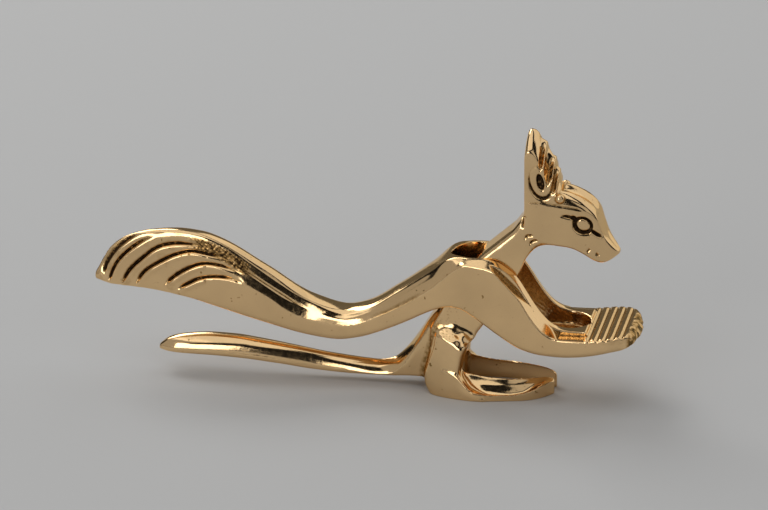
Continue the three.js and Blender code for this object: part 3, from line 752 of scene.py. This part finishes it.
def head_relief():
    """Eye with its tails, crease of the brow, hollow of the ear, and small marks on jaw and neck."""
    relief = Relief(*HEAD_WINDOW)
    x, z = relief.x, relief.z
    eye = ellipse(x, z, EYE, EYE_TILT, EYE_SIZE)
    lid = EYE_LINE + EYE_LINE_WIDER * fade(EYE[0] - x + EYE[1] - z, *EYE_LINE_FADE)
    relief.cut(EYE_DEPTH * bell((eye - 1) * EYE_SIZE[1], lid))
    for points, cut in EYE_TAILS:
        relief.groove(points, **cut)
    relief.groove(BROW_CREASE, **BROW_CUT)
    concha = ellipse(x, z, CONCHA, CONCHA_TILT, CONCHA_SIZE)
    below = CONCHA[1] - z - CONCHA_SLANT * (x - CONCHA[0])
    low_side = CONCHA_TOP_SHARE + (1 - CONCHA_TOP_SHARE) * fade(below, *CONCHA_FADE)
    relief.cut(CONCHA_DEPTH * low_side * bell((concha - 1) * CONCHA_SIZE[0], CONCHA_LINE))
    inner = ellipse(x, z, CONCHA, CONCHA_TILT, CONCHA_SLOT)
    relief.cut(CONCHA_SLOT_DEPTH * before(inner, *CONCHA_SLOT_EDGE))
    for points in SMALL_MARKS:
        relief.groove(points, **MARK_CUT)
    return relief


head_marks = head_relief()


def handle_field(x, y, z):
    """Made like the upper lever: walls, leaning flanks that swell, and a crowned strip on top."""
    top = handle_top(x) + GROUND
    bottom = handle_bottom(x) + GROUND
    half = handle_half(x)
    strip = np.minimum(handle_strip(x), half - HANDLE_STRIP_MARGIN)
    crown = HANDLE_CROWN * within(x, HANDLE_CROWN_START, HANDLE_CROWN_END)
    crease = np.minimum(handle_crease(x) + GROUND, top - crown - HANDLE_LEAST_RISE)
    rise = top - crown - crease
    run = half - strip
    length = np.sqrt(rise * rise + run * run)
    along = np.clip(((half - y) * run + (z - crease) * rise) / length ** 2, 0, 1)
    flank = ((y - half) * rise + (z - crease) * run) / length - HANDLE_BULGE * along * (1 - along) * run
    ridge = (z - top + crown * (y / strip) ** 2) / handle_top.steep(x)
    wall = (y - half) / handle_half.steep(x)
    body = smooth_max(wall, (bottom - z) / handle_bottom.steep(x), HANDLE_BELLY_ROUND)
    body = smooth_max(body, flank, HANDLE_FLANK_ROUND)
    body = smooth_max(body, ridge, HANDLE_TOP_ROUND)
    return smooth_max(body, np.maximum(HANDLE_TIP - x, x - HANDLE_END), HANDLE_END_ROUND)


def head_field(x, y, z):
    """A head with two crests along its top, a valley between them and a brow on each side."""
    half = head_half(x)
    top = head_top(x)
    brow = np.minimum(brow_edge(x), top - HEAD_LEAST_RISE)
    rise = top - brow
    crest = HEAD_CREST_SHARE * half
    out = np.clip((y - crest) / (half - crest), 0, 1)
    dome = rise * (HEAD_SLOPE_SHARE * out + (1 - HEAD_SLOPE_SHARE) * out ** HEAD_DOME_POWER)
    middle = np.clip(1 - (y / crest) ** 2, 0, 1) ** 2
    valley = np.clip(HEAD_VALLEY_SHARE * rise, 0, HEAD_VALLEY) * middle
    roof = (z - top + dome + valley) / head_top.steep(x)
    wall = (y - half) / head_half.steep(x)
    body = smooth_max(wall, (head_bottom(x) - z) / head_bottom.steep(x), JAW_ROUND)
    body = smooth_max(body, roof, BROW_ROUND)
    return smooth_max(body, np.maximum(HEAD_BACK - x, x - SNOUT_TIP), HEAD_END_ROUND)


def leg_field(x, y, z):
    """The haunch and shank, cut by the ledge on the outside and cut back above the foot inside."""
    height = z - GROUND
    leg = smooth_max(leg_outline(x, z), y - heel_outer(x) + LEG_LEAN * height, LEG_ROUND)
    inner = LEG_INNER + ANKLE_CUT * fade(x, *ANKLE_FRONT) * before(height, *ANKLE_TOP)
    leg = smooth_max(leg, inner - y, LEG_INNER_ROUND)
    along = x - LEDGE[0]
    ledge = LEDGE[2] + (LEDGE[1] - y) * LEDGE_SLOPE - along * LEDGE_TILT - LEDGE_BEND * along ** 2
    steep = np.sqrt(1 + LEDGE_SLOPE ** 2 + (LEDGE_TILT + 2 * LEDGE_BEND * along) ** 2)
    rough = LEDGE_SKIN * lumps(x, y, z, LEDGE_LUMP)
    return smooth_max(leg, (height - ledge) / steep + rough, LEDGE_ROUND)


def foot_field(x, y, z):
    """The foot, low outside and high inside, with a trough between."""
    outer = foot_outer(x)
    inner = foot_inner(x)
    low = foot_outer_top(x)
    high = foot_inner_top(x)
    way = np.clip((outer - y) / (outer - inner), 0, FOOT_INNER_SHARE)
    trough = TROUGH_DEPTH * within(x, TROUGH_START, TROUGH_END)
    trough = trough * np.sin(math.pi * np.clip(way / TROUGH_SHARE, 0, 1))
    top = low + (high - low) * way ** FOOT_HOLLOW - trough
    slope = (high - low) * FOOT_HOLLOW * way ** (FOOT_HOLLOW - 1) / (outer - inner)
    body = smooth_max((y - outer) / foot_outer.steep(x), (inner - y) / foot_inner.steep(x), FOOT_ROUND)
    body = smooth_max(body, (z - GROUND - top) / np.sqrt(1 + slope * slope), FOOT_ROUND)
    return smooth_max(body, np.maximum(FOOT_BACK - x, x - TOE_TIP), TOE_ROUND)


def limb_field(x, y, z):
    """A hind leg with its foot."""
    return smooth_min(leg_field(x, y, z), foot_field(x, y, z), FOOT_JOIN)


def ear_field(x, y, z):
    """The ear crest, bent down towards both sides and scooped there."""
    bend = EAR_DROP * (y / EAR_HALF) ** EAR_BEND
    height = z + bend * fade(z + bend, *EAR_ROOT)
    scoop = fade(y, *EAR_SCOOP)
    crest = ear_middle(x, height) * (1 - scoop) + ear_side(x, height) * scoop
    return smooth_max(crest, y - EAR_HALF, EAR_ROUND)


def lower_field(x, y, z):
    """The tongue with all that grows from it, carved on the head and cut flat under the feet."""
    y = np.abs(y)
    neck_front = fade(x, *NECK_FRONT) * before(z, *NECK_FRONT_END)
    rounding = TONGUE_ROUND + NECK_ROUND * fade(z, *NECK_START)
    rounding = rounding * (1 - NECK_FRONT_SHARPER * neck_front)
    body = smooth_max(tongue_outline(x, z), y - TONGUE_HALF, rounding)
    body = smooth_min(body, handle_field(x, y, z), HANDLE_JOIN)
    body = smooth_min(head_field(x, y, z), body, HEAD_JOIN)
    body = smooth_min(body, ear_field(x, y, z), EAR_JOIN)
    bead = np.sqrt((x - BEAD[0]) ** 2 + (y - BEAD[1]) ** 2 + (z - BEAD[2]) ** 2) - BEAD_RADIUS
    body = smooth_min(body, bead, BEAD_JOIN)
    body = smooth_min(body, limb_field(x, y, z), LEG_JOIN)
    body = body + head_marks(x, z) * fade(y, *MARKS_SIDE) * fade(z, *MARKS_BOTTOM)
    return smooth_max(body, GROUND - z, SOLE_ROUND)


# Meshes on the zero surface of a field: cells of the grids, and steps that slopes are taken over
UPPER_CELL = 0.45
LOWER_CELL = 0.42
GRID_MARGIN = 2
FAR_OUTSIDE = 10.0
SETTLE_ROUNDS = 4
SETTLE_STEP = 0.06
SETTLE_REACH = 0.4
NORMAL_STEP = 0.2
LEAST_SLOPE = 0.1
TINY = 1e-9
HOLLOW_STEP = 0.5
HOLLOW_GAIN = 0.9
HOLLOW_START = 0.1


def gradient(field, points, step):
    """Slopes of a field along x, y and z at some points."""
    sides = []
    for axis in range(3):
        shift = np.zeros(3)
        shift[axis] = step
        sides.append((field(*(points + shift).T) - field(*(points - shift).T)) / (2 * step))
    return np.stack(sides, axis=1)


def skin(name, field, low, high, cell):
    """A closed mesh on a field that is alike on both sides of y = 0, with the field's own normals."""
    start = np.floor(np.array(low) / cell - GRID_MARGIN)
    end = np.ceil(np.array(high) / cell + GRID_MARGIN + 1)
    x = np.arange(start[0], end[0]) * cell
    y = np.arange(0, end[1]) * cell
    z = np.arange(start[2], end[2]) * cell
    half = field(x[:, None, None], y[None, :, None], z[None, None, :])
    whole = np.concatenate([half[:, :0:-1], half], axis=1)
    grid = openvdb.FloatGrid(FAR_OUTSIDE)
    grid.copyFromArray(np.ascontiguousarray(whole, dtype=np.float32))
    points, quads = grid.convertToQuads(0.0)
    points = np.array(points, dtype=float) * cell + (x[0], -y[-1], z[0])
    for _ in range(SETTLE_ROUNDS):
        slope = gradient(field, points, SETTLE_STEP)
        square = np.maximum((slope ** 2).sum(axis=1), LEAST_SLOPE)
        step = field(*points.T)[:, None] * slope / square[:, None]
        length = np.linalg.norm(step, axis=1, keepdims=True)
        points = points - step * np.minimum(1, SETTLE_REACH * cell / np.maximum(length, TINY))
    normals = gradient(field, points, NORMAL_STEP)
    normals = normals / np.linalg.norm(normals, axis=1, keepdims=True)
    corners = points[quads]
    across = np.cross(corners[:, 2] - corners[:, 0], corners[:, 3] - corners[:, 1])
    if (across * normals[quads[:, 0]]).sum() < 0:
        quads = quads[:, ::-1]
    mesh = bpy.data.meshes.new(name)
    mesh.from_pydata((points * MM + PIVOT).tolist(), [], quads.tolist())
    mesh.shade_smooth()
    mesh.normals_split_custom_set_from_vertices(normals.tolist())
    piece = bpy.data.objects.new(name, mesh)
    bpy.context.scene.collection.objects.link(piece)
    return piece, points


def mark(piece, name, values):
    """Stores one number for each point of a piece, for its material to read."""
    layer = piece.data.attributes.new(name, "FLOAT", "POINT")
    layer.data.foreach_set("value", np.asarray(values, dtype=np.float32))


def hollowness(field, points):
    """1 in tight hollows of a field's surface and 0 on flat or raised stretches."""
    total = -6 * field(*points.T)
    for axis in range(3):
        shift = np.zeros(3)
        shift[axis] = HOLLOW_STEP
        total = total + field(*(points + shift).T) + field(*(points - shift).T)
    return np.clip(-total / HOLLOW_STEP ** 2 * HOLLOW_GAIN - HOLLOW_START, 0, 1)


# Materials: colours, the scale and detail of each noise in the brass, and what ranges are spread to what
BRASS_COLOUR = (0.92, 0.63, 0.325)
PIN_COLOUR = (0.8, 0.56, 0.3)
GRAZING_TINT = (1, 0.86, 0.62)
AMBER_COLOUR = (0.42, 0.24, 0.08)
STAIN_AND_SHADE_COLOUR = (0.03, 0.016, 0.008)
CLOUD_TONE = 0.88
CLOUD_NOISE = (45, 5)
SPECKLE_NOISE = (900, 3)
PIT_NOISE = (600, 2)
GRAIN_NOISE = (700, 4)
SKIN_NOISE = (1100, 3)
SKIN_STRENGTH = 0.12
SKIN_HEIGHT = 0.0001
PATINA_AND_SHADE_ROUGHNESS = 0.35
POLISHED_ROUGHNESS = 0.1
PIN_ROUGHNESS = 0.18
SPECKLE_SPREAD = (0.35, 0.65, 0.55, 1.15)
PIT_SPREAD = (0.69, 0.76, 0, 0.4)
CLOUD_SPREAD = (0.35, 0.65, 0, 1)
AMBER_SPREAD = (0.05, 0.4, 0, 1)
STAIN_AND_SHADE_SPREAD = (0.3, 0.7, 0, 1)
GRAIN_SPREAD = (0.3, 0.7, -0.03, 0.05)


def brass(name, colour, roughness):
    """Polished cast brass: cloudy tone, fine casting grain, and brown patina and painted shade where a
    piece is marked.
    """
    material = bpy.data.materials.new(name)
    material.use_nodes = True
    nodes = material.node_tree.nodes
    links = material.node_tree.links
    shader = nodes["Principled BSDF"]
    shader.inputs["Metallic"].default_value = 1.0
    shader.inputs["Specular Tint"].default_value = (*GRAZING_TINT, 1)
    place = nodes.new("ShaderNodeTexCoord").outputs["Object"]

    def noise(scale, detail):
        node = nodes.new("ShaderNodeTexNoise")
        node.inputs["Scale"].default_value = scale
        node.inputs["Detail"].default_value = detail
        links.new(place, node.inputs["Vector"])
        return node.outputs["Fac"]

    def spread(value, low, high, out_low, out_high):
        node = nodes.new("ShaderNodeMapRange")
        node.inputs["From Min"].default_value = low
        node.inputs["From Max"].default_value = high
        node.inputs["To Min"].default_value = out_low
        node.inputs["To Max"].default_value = out_high
        links.new(value, node.inputs["Value"])
        return node.outputs["Result"]

    def math_node(operation, first, second):
        node = nodes.new("ShaderNodeMath")
        node.operation = operation
        for socket, value in zip(node.inputs, (first, second)):
            if isinstance(value, (int, float)):
                socket.default_value = value
            else:
                links.new(value, socket)
        return node.outputs["Value"]

    def mix(share, first, second):
        """A mix of two colours, whose sockets share their names with those for other types."""
        node = nodes.new("ShaderNodeMix")
        node.data_type = "RGBA"
        links.new(share, node.inputs["Factor"])
        for socket, value in ((node.inputs[6], first), (node.inputs[7], second)):
            if isinstance(value, tuple):
                socket.default_value = (*value, 1)
            else:
                links.new(value, socket)
        return node.outputs[2]

    # The marks hold real patina and also painted shade and painted dark reflections, which turn the brass
    # amber and brown.
    marks = nodes.new("ShaderNodeAttribute")
    marks.attribute_name = "patina_and_shade"
    speckle = spread(noise(*SPECKLE_NOISE), *SPECKLE_SPREAD)
    pits = spread(noise(*PIT_NOISE), *PIT_SPREAD)
    patina_and_shade = math_node("ADD", math_node("MULTIPLY", marks.outputs["Fac"], speckle), pits)
    cloud = spread(noise(*CLOUD_NOISE), *CLOUD_SPREAD)
    clean = mix(cloud, colour, tuple(value * CLOUD_TONE for value in colour))
    amber = mix(spread(patina_and_shade, *AMBER_SPREAD), clean, AMBER_COLOUR)
    stained_and_shaded = mix(spread(patina_and_shade, *STAIN_AND_SHADE_SPREAD), amber, STAIN_AND_SHADE_COLOUR)
    links.new(stained_and_shaded, shader.inputs["Base Color"])
    grain = spread(noise(*GRAIN_NOISE), *GRAIN_SPREAD)
    rough = math_node("ADD", math_node("MULTIPLY", patina_and_shade, PATINA_AND_SHADE_ROUGHNESS), grain)
    links.new(math_node("ADD", rough, roughness), shader.inputs["Roughness"])
    bump = nodes.new("ShaderNodeBump")
    bump.inputs["Strength"].default_value = SKIN_STRENGTH
    bump.inputs["Distance"].default_value = SKIN_HEIGHT
    links.new(noise(*SKIN_NOISE), bump.inputs["Height"])
    links.new(bump.outputs["Normal"], shader.inputs["Normal"])
    return material


polished_brass = brass("polished_brass", BRASS_COLOUR, POLISHED_ROUGHNESS)
pin_brass = brass("pin_brass", PIN_COLOUR, PIN_ROUGHNESS)

# Patina and painted shade on the pieces: 0 is clean, about 0.35 is amber and 0.7 or more is brown
SLOT_PAINTED_SHADE = 0.3
SLOT_BACK_DARKER = 0.25
PAW_FRONT_PAINTED_REFLECTION = 0.25
PAW_FRONT_REFLECTION_BLOTCHES = 0.5
ROUGH_PATINA = 0.42
ROUGH_BLOTCHES = 0.4
CLOUD_PATINA = 0.16
PAD_PATINA = 0.11
SEAM_PATINA = 0.34
UPPER_HOLLOW_PATINA = 0.5
LOWER_HOLLOW_PATINA = 0.4
LEG_CREASE_SHADE = 0.42
SPECK_PATINA = 0.45

# Patina: sizes of its spots in millimetres, and the seam's height over the crease and its width
ROUGH_BLOTCH_SIZE = 1.6
CLOUD_SIZE = 11
SPECK_SIZE = 1.4
SEAM_HEIGHT = 0.2
SEAM_WIDTH = 0.9

# Patina and painted shade: levels of the uneven skin over which spots come in, and depths of the carving
PAW_FRONT_BLOTCH = (-0.3, 0.3)
ROUGH_BLOTCH = (-0.3, 0.4)
CLOUD_SPOT = (0, 0.5)
SPECK_SPOT = (0.3, 0.55)
LOCK_DEPTHS = (0.3, 0.9)
MARK_DEPTHS = (0.1, 0.5)

# Patina and painted shade: stretches along x over which they come in or go out
SLOT_BACK_END = (2, 10)
PAW_FRONT_DARK = (57.5, 59.5)
CLOUD_END = (-112, -104)
PAD_DARK = (PAD_START, PAD_START + 0.5)
BEFORE_PAD = (PAD_START - 1, PAD_START)
SEAM_START = (-38, -32)
SEAM_END = (-21, -15)
FOOT_START = (3, 6)
HAUNCH_END = (-12, -8)
THIGH_END = (-6, 0)

# Patina and painted shade: the same for heights (the thigh's above the ground), depths below the back and
# distances
PAD_BOTTOM = (-18, -17)
FOOT_TOP = (-16, -10)
THIGH_BOTTOM = (20, 23)
SLOT_TOP = (0.8, 2.5)
LOCK_CUT_TOP = (0.3, 1.5)
MARK_CUT_SIDE = (4, 6)
THIGH_SIDE = (7, 9)
SLOT_NEAR = (0.1, 0.5)
LEG_NEAR = (0.05, 0.5)
LEG_FAR = (0.8, 3.2)


# Pieces
def finish(piece, body, node, material):
    piece.data.materials.clear()
    piece.data.materials.append(material)
    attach(piece, body)
    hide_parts(node)


def upper_lever():
    piece, points = skin("squirrel_body", upper_field, UPPER_LOW, UPPER_HIGH, UPPER_CELL)
    x, y, z = points.T
    y = np.abs(y)
    drop = back_line(x) - z
    # Painted shade on the slot's walls, darker towards its back.
    slot = before(np.abs(slot_field(x, y, z)), *SLOT_NEAR) * fade(drop, *SLOT_TOP)
    slot = slot * (SLOT_PAINTED_SHADE + SLOT_BACK_DARKER * before(x, *SLOT_BACK_END))
    # In the grooves of the locks: partly the tail's own patina and partly painted shade.
    cut = fade(tail_locks(x, z), *LOCK_DEPTHS) * fade(drop, *LOCK_CUT_TOP)
    # Painted dark reflection on the paw's front, in blotches that follow its lumps.
    blotches = PAW_FRONT_REFLECTION_BLOTCHES * fade(uneven(x, y, z, PAW_FRONT_LUMP), *PAW_FRONT_BLOTCH)
    paw_front = fade(x, *PAW_FRONT_DARK) * (PAW_FRONT_PAINTED_REFLECTION + blotches)
    blotches = ROUGH_BLOTCHES * fade(uneven(x, y, z, ROUGH_BLOTCH_SIZE), *ROUGH_BLOTCH)
    rough = rough_tail(x, z) * (ROUGH_PATINA + blotches)
    clouds = CLOUD_PATINA * before(x, *CLOUD_END) * fade(lumps(x, y, z, CLOUD_SIZE), *CLOUD_SPOT)
    pad = PAD_PATINA * fade(x, *PAD_DARK) * fade(z, *PAD_BOTTOM)
    seam = SEAM_PATINA * bell(z - outer_edge(x) - SEAM_HEIGHT, SEAM_WIDTH)
    seam = seam * within(x, SEAM_START, SEAM_END)
    hollows = UPPER_HOLLOW_PATINA * hollowness(upper_field, points) * before(x, *BEFORE_PAD)
    mark(piece, "patina_and_shade", np.maximum.reduce([slot, cut, paw_front, rough, clouds, pad, seam, hollows]))
    finish(piece, "upper", "upper_lever", polished_brass)


def lower_lever():
    piece, points = skin("squirrel_head_and_legs", lower_field, LOWER_LOW, LOWER_HIGH, LOWER_CELL)
    x, y, z = points.T
    y = np.abs(y)
    cut = fade(head_marks(x, z), *MARK_DEPTHS) * fade(y, *MARK_CUT_SIDE) * fade(z, *MARKS_BOTTOM)
    foot = fade(x, *FOOT_START) * before(z, *FOOT_TOP)
    hollows = LOWER_HOLLOW_PATINA * hollowness(lower_field, points) * (1 - foot)
    # Painted shade in the crease where the leg meets the haunch and handle.
    beside_leg = within(limb_field(x, y, z), LEG_NEAR, LEG_FAR)
    leg_crease_shade = LEG_CREASE_SHADE * beside_leg * before(x, *HAUNCH_END)
    thigh = fade(z - GROUND, *THIGH_BOTTOM) * before(x, *THIGH_END) * fade(y, *THIGH_SIDE)
    specks = SPECK_PATINA * thigh * fade(lumps(x, y, z, SPECK_SIZE), *SPECK_SPOT)
    mark(piece, "patina_and_shade", np.maximum.reduce([cut, hollows, leg_crease_shade, specks]))
    finish(piece, "lower", "lower_lever", polished_brass)


def pivot_pin():
    """The pin in the solid's own shape, because it is wholly hidden inside both levers."""
    source = frame["nodes"]["pivot_pin"]
    piece = bpy.data.objects.new("hinge_pin", source.data.copy())
    bpy.context.scene.collection.objects.link(piece)
    mark(piece, "patina_and_shade", np.zeros(len(piece.data.vertices)))
    finish(piece, "upper", "pivot_pin", pin_brass)


upper_lever()
lower_lever()
pivot_pin()

# Floor
FLOOR_SIDE = 6.0
FLOOR_COLOUR = (0.56, 0.56, 0.555)
FLOOR_ROUGHNESS = 0.9
FLOOR_GLOSS = 0.1


def floor():
    corner = FLOOR_SIDE / 2
    mesh = bpy.data.meshes.new("floor")
    places = [(-corner, -corner, 0), (corner, -corner, 0), (corner, corner, 0), (-corner, corner, 0)]
    mesh.from_pydata(places, [], [(0, 1, 2, 3)])
    plane = bpy.data.objects.new("floor", mesh)
    bpy.context.scene.collection.objects.link(plane)
    material = bpy.data.materials.new("floor")
    material.use_nodes = True
    shader = material.node_tree.nodes["Principled BSDF"]
    shader.inputs["Base Color"].default_value = (*FLOOR_COLOUR, 1)
    shader.inputs["Roughness"].default_value = FLOOR_ROUGHNESS
    shader.inputs["Specular IOR Level"].default_value = FLOOR_GLOSS
    mesh.materials.append(material)


floor()

# Light: each lamp's name, azimuth, height, apparent width and height in degrees, and radiance.
# Azimuth 0 is the camera's side, -90 the tail's end and 180 behind the object.
LAMP_DISTANCE = 2.2
LAMPS = [
    ("front_lamp", -22, 15, 28, 26, 3),
    ("back_left_lamp", -140, 40, 30, 24, 4.5),
    ("back_panel", 139, 31, 62, 62, 0.75),
    ("far_panel", -158, 31, 64, 62, 0.12),
    ("right_panel", 44, 28, 44, 44, 0.5),
    ("left_panel", -67, 31, 66, 60, 0.35),
    ("top_panel", -60, 78, 66, 56, 0.85),
]
WORLD_COLOUR = (0.01, 0.01, 0.0105)


def direction(azimuth, height):
    """From the object towards a place given by two angles in degrees."""
    turn = math.radians(azimuth)
    rise = math.radians(height)
    return Vector((math.sin(turn) * math.cos(rise), -math.cos(turn) * math.cos(rise), math.sin(rise)))


def softbox(name, azimuth, height, width, depth, radiance):
    """A soft lamp facing the object."""
    towards = direction(azimuth, height)
    light = bpy.data.lights.new(name, "AREA")
    light.shape = "RECTANGLE"
    light.size = 2 * LAMP_DISTANCE * math.tan(math.radians(width / 2))
    light.size_y = 2 * LAMP_DISTANCE * math.tan(math.radians(depth / 2))
    light.energy = radiance * math.pi * light.size * light.size_y
    lamp = bpy.data.objects.new(name, light)
    lamp.location = LAMP_DISTANCE * towards
    lamp.rotation_euler = towards.to_track_quat("Z", "Y").to_euler()
    bpy.context.scene.collection.objects.link(lamp)


for lamp_values in LAMPS:
    softbox(*lamp_values)
world = bpy.data.worlds.new("world")
world.use_nodes = True
world.node_tree.nodes["Background"].inputs["Color"].default_value = (*WORLD_COLOUR, 1)
bpy.context.scene.world = world
bpy.context.scene.view_settings.view_transform = "Standard"

# Camera: far away, a little to the right and above. The picture takes in FRAME_WIDTH metres at AIM.
CAMERA_AZIMUTH = 9.5
CAMERA_HEIGHT = 20
CAMERA_DISTANCE = 3.0
SENSOR_WIDTH = 36
VIEW_LIMIT = 20
FRAME_WIDTH = 0.2769
AIM = Vector((0.00567, 0, 0.04808))

camera = bpy.data.cameras.new("camera")
camera.sensor_width = SENSOR_WIDTH
camera.lens = SENSOR_WIDTH * CAMERA_DISTANCE / FRAME_WIDTH
camera.clip_end = VIEW_LIMIT
eye = bpy.data.objects.new("camera", camera)
away = direction(CAMERA_AZIMUTH, CAMERA_HEIGHT)
eye.location = AIM + CAMERA_DISTANCE * away
eye.rotation_euler = away.to_track_quat("Z", "Y").to_euler()
bpy.context.scene.collection.objects.link(eye)
bpy.context.scene.camera = eye
